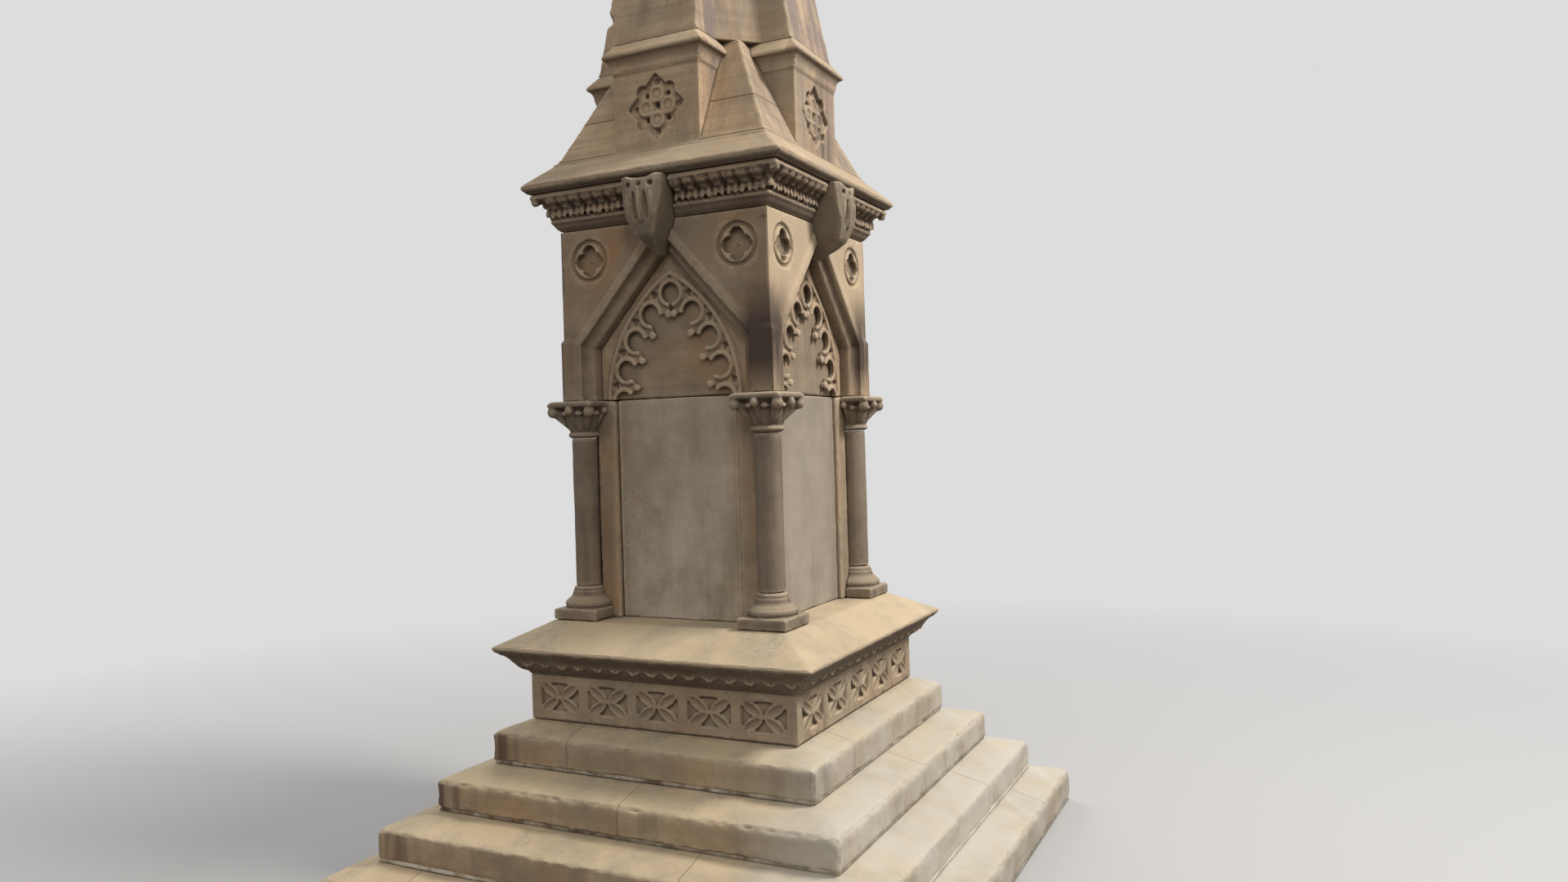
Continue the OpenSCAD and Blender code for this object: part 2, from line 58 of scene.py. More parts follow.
# %% Camera
azimuth, elevation, roll = math.radians(26.1308), math.radians(0.1929), math.radians(-1.7161)
eye_place = (2.8868, -5.1533, 2.2462)
focal_pixels, photo_width, sensor_width = 1325.85, 1920, 36
back = Vector((
    math.sin(azimuth) * math.cos(elevation),
    -math.cos(azimuth) * math.cos(elevation),
    math.sin(elevation),
))
across = Vector((math.cos(azimuth), math.sin(azimuth), 0))
upward = back.cross(across)
tilted_across = math.cos(roll) * across + math.sin(roll) * upward
tilted_upward = -math.sin(roll) * across + math.cos(roll) * upward
eye = bpy.data.cameras.new("photo_camera")
eye.sensor_width, eye.lens = sensor_width, sensor_width * focal_pixels / photo_width
camera = bpy.data.objects.new("photo_camera", eye)
bpy.context.scene.collection.objects.link(camera)
camera.matrix_world = Matrix([*zip(tilted_across, tilted_upward, back, eye_place), (0, 0, 0, 1)])
bpy.context.scene.camera = camera
bpy.context.scene.view_settings.view_transform = "Standard"
print("camera at", tuple(round(c, 3) for c in camera.location), "lens", round(eye.lens, 2))

# %% [markdown]
# ## Working by hand
# Operators act on whatever is selected, and the loaded nodes start out selected. These helpers select
# exactly what the next operator should touch, apply one modifier, and weld a copy of a CAD stone.

# %% Selecting, modifiers and blocks
def pick(*pieces):
    """Select only these pieces and make the first one active."""
    if bpy.context.object and bpy.context.object.mode != "OBJECT":
        bpy.ops.object.mode_set(mode="OBJECT")
    bpy.ops.object.select_all(action="DESELECT")
    for piece in pieces:
        piece.select_set(True)
    bpy.context.view_layer.objects.active = pieces[0]


def finish_with(piece, kind, **settings):
    """Add one modifier, set it up and apply it."""
    modifier = piece.modifiers.new(kind.lower(), kind)
    for key, value in settings.items():
        setattr(modifier, key, value)
    pick(piece)
    bpy.ops.object.modifier_apply(modifier=modifier.name)


def rough_block(node, name=None):
    """A welded copy of a CAD node, ready to be carved."""
    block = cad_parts[node].copy()
    block.data = block.data.copy()
    block.name = block.data.name = name or "worn_" + node
    block.parent = None
    for key in list(block.keys()):
        del block[key]
    block.data.materials.clear()
    block.rotation_mode = "XYZ"
    bpy.context.scene.collection.objects.link(block)
    pick(block)
    bpy.ops.object.mode_set(mode="EDIT")
    bpy.ops.mesh.select_all(action="SELECT")
    bpy.ops.mesh.remove_doubles(threshold=0.00002)
    bpy.ops.object.mode_set(mode="OBJECT")
    return block


# %% Joining, turning and repeating
def join(block, *lumps):
    """Put carved lumps into a block, to be welded by the remesh."""
    pick(block, *lumps)
    bpy.ops.object.join()
    return block


def cut(block, cutter):
    """Take a cutter out of a block and throw the cutter away."""
    finish_with(block, "BOOLEAN", operation="DIFFERENCE", solver="EXACT", object=cutter)
    bpy.data.objects.remove(cutter)


def turned(piece, degrees, name):
    """A copy of a piece, turned about the obelisk's axis, with its place in its mesh."""
    copy = piece.copy()
    copy.data = piece.data.copy()
    copy.name = copy.data.name = name
    bpy.context.scene.collection.objects.link(copy)
    copy.rotation_euler.z = math.radians(degrees)
    pick(copy)
    bpy.ops.object.transform_apply(location=False, rotation=True, scale=False)
    return copy


def all_round(piece):
    """The piece on all four sides, as one object."""
    return join(piece, *[turned(piece, 90 * i, piece.name) for i in (1, 2, 3)])


def in_a_row(piece, count, pitch):
    """The piece repeated along x, as one object."""
    finish_with(
        piece, "ARRAY", count=count, use_relative_offset=False,
        use_constant_offset=True, constant_offset_displace=(pitch, 0, 0),
    )
    return piece


# %% [markdown]
# ## Chisel marks
# All the ornament is built up from a few rounded lumps, as a carver first blocks a leaf out of the stone:
# a stretched ball for a lobe, a ring for a petal with a raised rim. They overlap the block and each other,
# because the remesh that follows welds everything into one skin.

# %% Lobes, rings and rods
facing_front = (math.radians(90), 0, 0)


def lobe(place, size, turn=(0, 0, 0)):
    """A stretched ball: its centre, its three half sizes, and its turn in degrees."""
    bpy.ops.mesh.primitive_uv_sphere_add(
        segments=12, ring_count=7, radius=1, location=place, scale=size,
        rotation=[math.radians(a) for a in turn],
    )
    made = bpy.context.object
    bpy.ops.object.transform_apply()
    return made


def petal_ring(place, radius, thick):
    """A ring that stands on a front face, for a petal with a raised rim."""
    bpy.ops.mesh.primitive_torus_add(
        major_segments=16, minor_segments=6, major_radius=radius, minor_radius=thick,
        location=place, rotation=facing_front,
    )
    made = bpy.context.object
    bpy.ops.object.transform_apply()
    return made


def rod(place, radius, depth):
    """A short round rod that points forward, for drilled holes and rounded sinkings."""
    bpy.ops.mesh.primitive_cylinder_add(
        vertices=12, radius=radius, depth=depth, location=place, rotation=facing_front)
    made = bpy.context.object
    bpy.ops.object.transform_apply()
    return made


# %% [markdown]
# ## How stone ages
# A carved block could be bevelled edge by edge, but rain doesn't know about edges: year after year it
# takes more from every arris and leaves the hollows. So each block is remeshed into even voxels, which
# also welds the lumps into one stone. A light smoothing rounds it, a vertex group of the convex edges
# lets two noises bite into the arrises, and a third makes the flat faces gently uneven. Decimation then
# keeps the points where the shape needs them.

# %% The noises that weather the stone
def noise(name, size, depth, contrast):
    texture = bpy.data.textures.new(name, "CLOUDS")
    texture.noise_scale, texture.noise_depth, texture.contrast = size, depth, contrast
    return texture


bite_noise = noise("bite", 0.07, 3, 1.6)
chip_noise = noise("chip", 0.035, 2, 2.2)
swell_noise = noise("swell", 0.16, 2, 1.3)
print("noises", [texture.name for texture in (bite_noise, chip_noise, swell_noise)])


# %% Finding the arrises
def all_of(items, key, width, kind):
    """One property of all vertices or edges, as rows of an array."""
    values = np.empty(len(items) * width, kind)
    items.foreach_get(key, values)
    return values.reshape(-1, width)


def arris_weights(mesh, reach):
    """How sharply the surface turns outwards at each vertex, from 0 to 1."""
    place = all_of(mesh.vertices, "co", 3, np.float32)
    normal = all_of(mesh.vertices, "normal", 3, np.float32)
    pairs = all_of(mesh.edges, "vertices", 2, np.int32)
    ends = np.concatenate([pairs, pairs[:, ::-1]])
    count = len(place)
    share = np.bincount(ends[:, 0], minlength=count)
    pull = [np.bincount(ends[:, 0], place[ends[:, 1], i], count) / share - place[:, i] for i in range(3)]
    ridge = -sum(pull[i] * normal[:, i] for i in range(3))
    return np.clip(ridge / reach, 0, 1), place


# %% Softening and ageing a block
def mark(piece, name, where, weight=1.0):
    """Put vertices into a vertex group, which is made if need be."""
    group = piece.vertex_groups.get(name) or piece.vertex_groups.new(name=name)
    group.add(np.nonzero(where)[0].tolist(), weight, "REPLACE")


def press(piece, group, depth, texture=None):
    """Push the vertices of a group outwards, or inwards where depth is negative."""
    finish_with(
        piece, "DISPLACE", texture=texture, texture_coords="LOCAL",
        vertex_group=group, mid_level=0.0, strength=depth,
    )


def soften(piece, voxel, rounds, sheltered=None):
    """Weld and round a block, and mark its arrises and its open faces."""
    finish_with(piece, "REMESH", mode="VOXEL", voxel_size=voxel, use_smooth_shade=True)
    finish_with(piece, "SMOOTH", factor=0.5, iterations=rounds)
    weight, place = arris_weights(piece.data, voxel * 0.25)
    open_air = np.ones(len(place), bool) if sheltered is None else ~sheltered(place)
    levels = 6
    level = np.round(weight * levels).astype(int) * open_air
    for step in range(1, levels + 1):
        mark(piece, "arris", level == step, step / levels)
    mark(piece, "face", open_air)
    return piece


def age(piece, bite, swell, keep):
    """Eat into the arrises, make the faces uneven, and thin the mesh."""
    press(piece, "arris", -bite, bite_noise)
    press(piece, "arris", -bite * 0.6, chip_noise)
    press(piece, "face", -swell, swell_noise)
    finish_with(piece, "DECIMATE", ratio=keep)
    piece.vertex_groups.clear()
    pick(piece)
    bpy.ops.object.shade_smooth()
    return piece


# %% [markdown]
# ## Sandstone as layers of nodes
# The stone is one rock seen in many states, so its effects are node groups that every finish shares:
# the body of the rock with its bedding and iron patches, the streaks and soot that rain leaves with painted
# shade on the undersides, lichen and painted light on what faces the sky, and the pale arrises and dark
# hollows of wear, grime, painted highlight and painted shade. Each finish chains them with its own colours.
# All of them read Object coordinates, so the pattern is fixed to the stone. Grime keeps to the creases:
# Pointiness finds the sharp ones, and ambient occlusion paints shade into the deep ones.

# %% Building node trees
COLOUR, NUMBER = "NodeSocketColor", "NodeSocketFloat"


def put(tree, kind, inputs=None, **settings):
    """Add a shader node, set its properties and feed its inputs from sockets or plain values."""
    node = tree.nodes.new("ShaderNode" + kind)
    for key, value in settings.items():
        setattr(node, key, value)
    for key, value in (inputs or {}).items():
        if isinstance(value, bpy.types.NodeSocket):
            tree.links.new(value, node.inputs[key])
        else:
            node.inputs[key].default_value = value
    return node


def new_group(name, takes, gives):
    """An empty node group, with the sockets of its input and output nodes."""
    tree = bpy.data.node_groups.new(name, "ShaderNodeTree")
    for label, kind, value in takes:
        tree.interface.new_socket(label, in_out="INPUT", socket_type=kind).default_value = value
    for label, kind in gives:
        tree.interface.new_socket(label, in_out="OUTPUT", socket_type=kind)
    return tree, tree.nodes.new("NodeGroupInput").outputs, tree.nodes.new("NodeGroupOutput").inputs


def tell(tree):
    print("group", tree.name, "has", len(tree.nodes), "nodes")


# %% Sums and mixes
def ranged(tree, value, low, high, to_low=0.0, to_high=1.0):
    """Stretch one span of values over another, clamped."""
    return put(tree, "MapRange", {0: value, 1: low, 2: high, 3: to_low, 4: to_high}).outputs[0]


def sums(tree, how, a, b=0.0, c=0.0):
    return put(tree, "Math", {0: a, 1: b, 2: c}, operation=how).outputs[0]


def times(tree, first, *others):
    for other in others:
        first = sums(tree, "MULTIPLY", first, other)
    return first


def mixed(tree, amount, a, b, how="MIX"):
    return put(tree, "Mix", {0: amount, 6: a, 7: b}, data_type="RGBA", blend_type=how).outputs[2]


def either(tree, choice, a, b):
    """A number between a, where choice is 0, and b, where it is 1."""
    return put(tree, "Mix", {0: choice, 2: a, 3: b}, data_type="FLOAT").outputs[0]


# %% Places, directions and patches on the stone
def spot_on(tree):
    """Where a point lies, as X, Y and Z."""
    return put(tree, "SeparateXYZ", {0: put(tree, "TexCoord").outputs["Object"]}).outputs


def facing(tree):
    """Which way the surface looks, as X, Y and Z."""
    return put(tree, "SeparateXYZ", {0: put(tree, "NewGeometry").outputs["Normal"]}).outputs


def length(tree, value):
    return sums(tree, "ABSOLUTE", value)


def from_middle(tree, spot):
    """How far a point is from the middle of its side: the smaller of |x| and |y|."""
    return sums(tree, "MINIMUM", length(tree, spot["X"]), length(tree, spot["Y"]))


def upright_only(tree):
    return ranged(tree, length(tree, facing(tree)["Z"]), 0.3, 0.75, 1.0, 0.0)


def patches(tree, scale, stretch=(1, 1, 1), shift=(0, 0, 0), detail=4.0, rough=0.55):
    """Noise on the stone's own coordinates, stretched and shifted."""
    spot = put(tree, "TexCoord").outputs["Object"]
    spot = put(tree, "Mapping", {"Vector": spot, "Location": shift, "Scale": stretch}).outputs[0]
    clouds = {"Vector": spot, "Scale": scale, "Detail": detail, "Roughness": rough}
    return put(tree, "TexNoise", clouds).outputs[0]


# %% Node group: the body of the rock
dark_beds, rust_brown, dark_specks = (0.1, 0.07, 0.05, 1), (0.34, 0.195, 0.095, 1), (0.13, 0.095, 0.07, 1)
rock, takes, gives = new_group(
    "sandstone_body",
    [("Pale", COLOUR, (0.5, 0.4, 0.27, 1)), ("Deep", COLOUR, (0.33, 0.24, 0.15, 1)),
     ("Iron amount", NUMBER, 0.5), ("Bedding", NUMBER, 0.4)],
    [("Color", COLOUR), ("Height", NUMBER)],
)
broad = patches(rock, 1.3, detail=3)
close = patches(rock, 7, shift=(3, 1, 2), detail=7, rough=0.62)
tone = sums(rock, "ADD", times(rock, broad, 0.5), times(rock, close, 0.5))
body = mixed(rock, ranged(rock, tone, 0.38, 0.62), takes["Deep"], takes["Pale"])
beds = patches(rock, 3.2, stretch=(0.35, 0.35, 11.0), detail=5, rough=0.6)
beds = times(rock, ranged(rock, beds, 0.45, 0.6), takes["Bedding"])
body = mixed(rock, beds, body, mixed(rock, 0.35, takes["Deep"], dark_beds))
rust = patches(rock, 1.9, stretch=(1, 1, 0.7), shift=(11, 4, 6), detail=5, rough=0.6)
# Rust thins out towards the right, leaving that side paler: painted light.
less_on_the_right = ranged(rock, spot_on(rock)["X"], 0.2, 0.55, 1.0, 0.3)
rust = times(rock, ranged(rock, rust, 0.47, 0.62), less_on_the_right, takes["Iron amount"])
body = mixed(rock, rust, body, rust_brown)
grain = patches(rock, 210, detail=2, rough=0.7)
speck = patches(rock, 70, shift=(7, 2, 5), detail=3, rough=0.65)
body = mixed(rock, 0.5, body, ranged(rock, grain, 0.25, 0.75, 0.62, 1.3), "MULTIPLY")
body = mixed(rock, ranged(rock, speck, 0.6, 0.72, 0.0, 0.4), body, dark_specks)
rock.links.new(body, gives["Color"])
rock.links.new(sums(rock, "ADD", times(rock, grain, 0.35), times(rock, speck, 0.65)), gives["Height"])
tell(rock)

# %% Node group: rain streaks, soot, and painted shade on undersides
plain_stone = (0.4, 0.3, 0.2, 1)
rain, takes, gives = new_group(
    "rain_and_soot",
    [("Color", COLOUR, plain_stone), ("Soot", COLOUR, (0.1, 0.075, 0.06, 1)),
     ("Streaks", NUMBER, 0.4), ("Underside", NUMBER, 0.6)],
    [("Color", COLOUR)],
)
runs = patches(rain, 1.0, stretch=(11, 11, 0.7), detail=6, rough=0.62)
where = patches(rain, 1.6, shift=(2, 9, 4), detail=4)
wash = times(rain, ranged(rain, runs, 0.45, 0.7), ranged(rain, where, 0.36, 0.6))
wash = times(rain, wash, ranged(rain, facing(rain)["X"], 0.2, 0.9, 0.8, 1.5))
wash = times(rain, wash, upright_only(rain), takes["Streaks"])
washed = mixed(rain, wash, takes["Color"], takes["Soot"])
# Downward faces darken: soot, with painted shade.
underside_soot_and_shade = times(rain, ranged(rain, facing(rain)["Z"], -0.1, -0.7), takes["Underside"])
rain.links.new(mixed(rain, underside_soot_and_shade, washed, takes["Soot"]), gives["Color"])
tell(rain)

# %% Node group: what faces the sky
rinsed_lit_stone, algae_green = (0.57, 0.46, 0.305, 1), (0.235, 0.215, 0.165, 1)
lichen_dark, lichen_pale = (0.14, 0.13, 0.105, 1), (0.42, 0.4, 0.34, 1)
lichen, takes, gives = new_group(
    "sky_and_lichen",
    [("Color", COLOUR, plain_stone), ("Rinsed and lit", NUMBER, 0.4), ("Algae", NUMBER, 0.4),
     ("Tops", NUMBER, 0.5), ("Sides", NUMBER, 0.1)],
    [("Color", COLOUR)],
)
# Upward faces turn paler: rinsed by rain, with painted light.
skyward = ranged(lichen, facing(lichen)["Z"], 0.35, 0.8)
rinsed_and_lit = mixed(lichen, times(lichen, skyward, takes["Rinsed and lit"]), takes["Color"], rinsed_lit_stone)
bloom = ranged(lichen, patches(lichen, 2.3, shift=(8, 3, 9), detail=6, rough=0.62), 0.47, 0.62)
rinsed_and_lit = mixed(lichen, times(lichen, bloom, takes["Algae"]), rinsed_and_lit, algae_green)
crust = ranged(lichen, patches(lichen, 3.4, shift=(5, 5, 1), detail=9, rough=0.68), 0.55, 0.63)
fine = ranged(lichen, patches(lichen, 55), 0.38, 0.6)
amount = either(lichen, skyward, takes["Sides"], takes["Tops"])
cover = times(lichen, crust, ranged(lichen, fine, 0.0, 1.0, 0.45, 1.0), amount)
shade = mixed(lichen, ranged(lichen, fine, 0.2, 0.9), lichen_dark, lichen_pale)
lichen.links.new(mixed(lichen, cover, rinsed_and_lit, shade), gives["Color"])
tell(lichen)

# %% Node group: pale arrises with painted highlight, dark hollows with grime and painted shade
grime_and_shade_brown, rubbed_highlight_stone = (0.075, 0.052, 0.038, 1), (0.56, 0.46, 0.33, 1)
wear, takes, gives = new_group(
    "arris_wear_highlight_and_shade",
    [("Color", COLOUR, plain_stone), ("Arris", NUMBER, 0.4), ("Hollow", NUMBER, 0.6)],
    [("Color", COLOUR)],
)
point = put(wear, "NewGeometry").outputs["Pointiness"]
# Pointiness finds sharp creases for grime; ambient occlusion darkens the deep hollows as painted shade.
occlusion_shade = put(wear, "AmbientOcclusion", {"Distance": 0.14}, samples=8).outputs["AO"]
grime_and_shade = sums(wear, "MAXIMUM", ranged(wear, point, 0.495, 0.44), ranged(wear, occlusion_shade, 0.52, 0.15))
grimed_and_shaded = mixed(wear, times(wear, grime_and_shade, takes["Hollow"]), takes["Color"], grime_and_shade_brown)
# Pale convex arrises: wear, with a painted highlight.
rubbed_and_highlit = times(wear, ranged(wear, point, 0.505, 0.56), takes["Arris"])
wear.links.new(mixed(wear, rubbed_and_highlit, grimed_and_shaded, rubbed_highlight_stone), gives["Color"])
tell(wear)

# %% [markdown]
# The steps carry marks of their own. Iron-dark stains run down both sides of every corner, the right-hand
# part is paler and greyer, with dust and painted light, and lime has crept out of the beds where a riser
# stands on the tread below. Each course is made of several long stones, so a joint crosses it now and then.
# The larger of |x| and |y| tells which side of the square a point is on, and the other how far along it, so
# one group serves all four sides and all four courses.

# %% Node group: stains, dust with painted light, and lime of the steps
def new_marks(name, *more):
    """A group for the marks of one kind of stone, with any further outputs."""
    return new_group(name, [("Color", COLOUR, plain_stone)], [("Color", COLOUR), *more])


iron_stain, grey_dust_and_light, lime_white = (0.09, 0.055, 0.042, 1), (0.50, 0.47, 0.41, 1), (0.62, 0.57, 0.48, 1)
stains, takes, gives = new_marks("step_marks", ("Groove", NUMBER))
spot = spot_on(stains)
out_x, out_y = length(stains, spot["X"]), length(stains, spot["Y"])
from_corner = length(stains, sums(stains, "SUBTRACT", out_x, out_y))
runs = ranged(stains, patches(stains, 1.0, stretch=(13, 13, 0.9), shift=(4, 4, 0), detail=4), 0.4, 0.58)
some = ranged(stains, patches(stains, 0.9, shift=(1, 6, 2), detail=2), 0.42, 0.56)
dark = times(stains, ranged(stains, from_corner, 0.05, 0.3, 1.0, 0.0), runs, some)
marked = mixed(stains, times(stains, dark, upright_only(stains), 0.85), takes["Color"], iron_stain)
# Paler grey towards the right of the steps: dust, with painted light.
dusty = ranged(stains, patches(stains, 2.6, detail=6, rough=0.65), 0.36, 0.55, 0.35, 0.9)
dust_and_light = times(stains, ranged(stains, spot["X"], 0.55, 1.0), dusty)
marked = mixed(stains, dust_and_light, marked, grey_dust_and_light)
bed = 0.0
for course in ("third_step", "second_step", "top_step", "frieze"):
    near_bed = sums(stains, "COMPARE", spot["Z"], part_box(course)[0].z + 0.006, 0.012)
    bed = sums(stains, "MAXIMUM", bed, near_bed)
crept = ranged(stains, patches(stains, 9, detail=5), 0.4, 0.52)
marked = mixed(stains, times(stains, bed, upright_only(stains), crept, 0.85), marked, lime_white)

# %% Joints between the stones of a step
rise, stone_half, stagger = 0.206, 0.93, 0.43
over_the_foot = sums(stains, "SUBTRACT", spot["Z"], 0.019)
number = sums(stains, "FLOOR", sums(stains, "DIVIDE", over_the_foot, rise))
along = either(stains, sums(stains, "GREATER_THAN", out_y, out_x), spot["Y"], spot["X"])
along = sums(stains, "ADD", along, times(stains, sums(stains, "SUBTRACT", number, 2.0), stagger))
along = sums(stains, "ADD", along, times(stains, patches(stains, 9, detail=3), 0.012))
off_joint = length(stains, sums(stains, "WRAP", along, stone_half, -stone_half))
joint = ranged(stains, off_joint, 0.001, 0.0045, 1.0, 0.0)
stains.links.new(mixed(stains, times(stains, joint, 0.5), marked, (0.12, 0.09, 0.065, 1)), gives["Color"])
stains.links.new(joint, gives["Groove"])
tell(stains)

# %% [markdown]
# Three more marks belong to single places. The piers under the gables are darkened by soot, and by painted
# shade that grows towards the right, and a patch of painted light lies on the right-hand wall above them.
# The tablets are pale at the foot, where damp rises in them, and the right-hand one has painted shade. Each
# broach at the foot of the spire is two stones high, so a bed joint crosses it, and slate-grey streaks run
# down the spire's right.

# %% Node group: piers with soot, painted shade and a patch of painted light
pier_black, painted_light_stone = (0.06, 0.042, 0.035, 1), (0.56, 0.44, 0.3, 1)
piers, takes, gives = new_marks("pier_soot_shade_and_light")
spot = spot_on(piers)
height = times(piers, ranged(piers, spot["Z"], 2.42, 2.62), ranged(piers, spot["Z"], 3.08, 2.8))
on_piers = times(piers, height, ranged(piers, from_middle(piers, spot), 0.37, 0.49))
# Soot on all piers, with painted shade that grows towards the right.
soot_and_shade = times(piers, on_piers, ranged(piers, spot["X"], 0.0, 0.4, 0.15, 0.95))
soot_and_shade = times(piers, soot_and_shade, ranged(piers, patches(piers, 2.2, stretch=(4, 4, 0.8), detail=5), 0.3, 0.5))
# A pale patch on the right-hand wall above the piers: painted light.
painted_light_patch = times(piers, ranged(piers, spot["X"], 0.585, 0.597), ranged(piers, spot["Z"], 2.8, 3.0, 0.0, 0.6))
lit_patch_colour = mixed(piers, painted_light_patch, takes["Color"], painted_light_stone)
piers.links.new(mixed(piers, soot_and_shade, lit_patch_colour, pier_black), gives["Color"])
tell(piers)

# %% Node group: bleached tablets, with painted shade on the right-hand one
bleached_stone, shade_grey = (0.5, 0.445, 0.37, 1), (0.24, 0.21, 0.18, 1)
damp, takes, gives = new_marks("bleached_foot")
spot = spot_on(damp)
inside = ranged(damp, from_middle(damp, spot), 0.33, 0.22)
clouds = patches(damp, 3.5, stretch=(1, 1, 0.7), detail=6, rough=0.65)
risen = times(damp, ranged(damp, spot["Z"], 2.25, 1.6, 0.25, 0.9), inside, ranged(damp, clouds, 0.36, 0.6))
risen = mixed(damp, risen, takes["Color"], bleached_stone)
# The right-hand tablet is darkened: painted shade.
painted_shade_right = ranged(damp, spot["X"], 0.40, 0.46, 0.0, 0.55)
damp.links.new(mixed(damp, painted_shade_right, risen, shade_grey), gives["Color"])
tell(damp)

# %% Node group: the bed of the broaches
slate_grey, broach_bed = (0.17, 0.135, 0.13, 1), 3.906
broach, takes, gives = new_marks("broach_bed", ("Groove", NUMBER))
spot = spot_on(broach)
off_bed = length(broach, sums(broach, "SUBTRACT", spot["Z"], broach_bed))
on_broach = ranged(broach, from_middle(broach, spot), 0.25, 0.255)
open_bed = times(broach, ranged(broach, off_bed, 0.002, 0.006, 1.0, 0.0), on_broach)
runs = patches(broach, 1.0, stretch=(16, 16, 0.6), shift=(3, 2, 1), detail=5)
right = ranged(broach, facing(broach)["X"], 0.5, 0.9)
more_above = ranged(broach, spot["Z"], 4.2, 4.3, 0.5, 1.0)
streaked = times(broach, right, more_above, ranged(broach, runs, 0.38, 0.56, 0.1, 0.8))
slate = mixed(broach, streaked, takes["Color"], slate_grey)
broach.links.new(mixed(broach, times(broach, open_bed, 0.7), slate, dark_beds), gives["Color"])
broach.links.new(open_bed, gives["Groove"])
tell(broach)


# %% One finish from its layers
def stone_finish(
    name, pale, deep, iron=0.4, bedding=0.2, streaks=0.5, underside=0.6,
    rinsed_and_lit=0.3, algae=0.35, tops=0.5, sides=0.08, arris=0.6, hollow=0.75, marks=None,
):
    """A sandstone material: the rock, then rain, lichen and wear with painted light and shade, then the
    marks of its place.
    """
    material = bpy.data.materials.new(name)
    material.use_nodes = True
    tree = material.node_tree
    shader = tree.nodes["Principled BSDF"]
    shader.inputs["Specular IOR Level"].default_value = 0.25
    body = put(tree, "Group", node_tree=rock)
    colours = {"Pale": (*pale, 1), "Deep": (*deep, 1), "Iron amount": iron, "Bedding": bedding}
    for key, value in colours.items():
        body.inputs[key].default_value = value
    layers = [
        (rain, {"Streaks": streaks, "Underside": underside}),
        (lichen, {"Rinsed and lit": rinsed_and_lit, "Algae": algae, "Tops": tops, "Sides": sides}),
        (wear, {"Arris": arris, "Hollow": hollow}),
    ]
    if marks:
        layers.append((marks, {}))
    chain, height = body.outputs["Color"], body.outputs["Height"]
    for group, values in layers:
        layer = put(tree, "Group", {"Color": chain, **values}, node_tree=group)
        chain = layer.outputs["Color"]
        if "Groove" in layer.outputs:
            height = sums(tree, "SUBTRACT", height, times(tree, layer.outputs["Groove"], 1.5))
    tree.links.new(chain, shader.inputs["Base Color"])
    tree.links.new(ranged(tree, body.outputs["Height"], 0.3, 0.7, 0.97, 0.82), shader.inputs["Roughness"])
    bump = put(tree, "Bump", {"Height": height, "Strength": 0.45, "Distance": 0.004})
    tree.links.new(bump.outputs[0], shader.inputs["Normal"])
    return material


# %% One finish for each slot of the record
looks = {
    "step_stone": dict(
        pale=(0.44, 0.335, 0.215), deep=(0.29, 0.21, 0.135),
        iron=0.35, rinsed_and_lit=0.75, algae=0.4, marks=stains),
    "pedestal_stone": dict(
        pale=(0.46, 0.36, 0.25), deep=(0.31, 0.235, 0.16),
        iron=0.25, underside=0.9, rinsed_and_lit=0.7, algae=0.35),
    "wall_stone": dict(
        pale=(0.38, 0.29, 0.2), deep=(0.22, 0.165, 0.115),
        iron=0.85, arris=0.85, marks=piers),
    "tablet_stone": dict(
        pale=(0.49, 0.405, 0.305), deep=(0.31, 0.245, 0.175),
        iron=0.35, bedding=0.1, algae=0.5, sides=0.25, marks=damp),
    # The column stone is darker than its own colour: partly painted shade.
    "column_stone": dict(
        pale=(0.24, 0.19, 0.144), deep=(0.15, 0.117, 0.087),
        iron=0.15, bedding=0.05, streaks=0.85, arris=0.7),
    "tracery_stone": dict(
        pale=(0.43, 0.32, 0.215), deep=(0.26, 0.185, 0.12),
        iron=0.55, arris=0.8, hollow=0.85),
    "shield_stone": dict(
        pale=(0.30, 0.235, 0.165), deep=(0.19, 0.145, 0.1),
        iron=0.15, sides=0.3, arris=0.7),
    "cornice_stone": dict(
        pale=(0.42, 0.315, 0.215), deep=(0.25, 0.175, 0.12),
        iron=0.3, bedding=0.75, streaks=0.6, underside=0.8, rinsed_and_lit=0.45),
    "spire_stone": dict(
        pale=(0.52, 0.39, 0.255), deep=(0.34, 0.25, 0.165),
        iron=0.5, bedding=0.35, streaks=0.8, marks=broach),
}
finishes = {slot: stone_finish(slot, **look) for slot, look in looks.items()}
print(len(finishes), "stone finishes")


# %% Setting a finished stone in its place
def lay(piece, slot, *nodes):
    """Give a stone its finish, and let it stand for its CAD nodes."""
    piece.data.materials.clear()
    piece.data.materials.append(finishes[slot])
    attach(piece, "root")
    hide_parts(*nodes)
    piece.data.calc_loop_triangles()
    print(piece.name, len(piece.data.loop_triangles), "triangles")


# %% [markdown]
# ## Steps
# Four courses of long stones. Their treads slope so that rain runs off, and feet and frost have rounded
# every nosing. The part of each course under the next one is sheltered, so it stays flat and costs few
# faces.

# %% Steps
def covered_by(half, floor):
    """What is sheltered: the bed below, and the top inside the next course."""
    def sheltered(place):
        return (np.abs(place[:, :2]).max(1) < half) | (place[:, 2] < floor + 0.003)
    return sheltered


lap = 0.01
courses = ["bottom_step", "third_step", "second_step", "top_step", "frieze"]
for course, above in zip(courses, courses[1:]):
    stone = rough_block(course)
    soften(stone, 0.012, 3, covered_by(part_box(above)[1].x - lap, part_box(course)[0].z))
    lay(age(stone, bite=0.020, swell=0.011, keep=0.14), "step_stone", course)

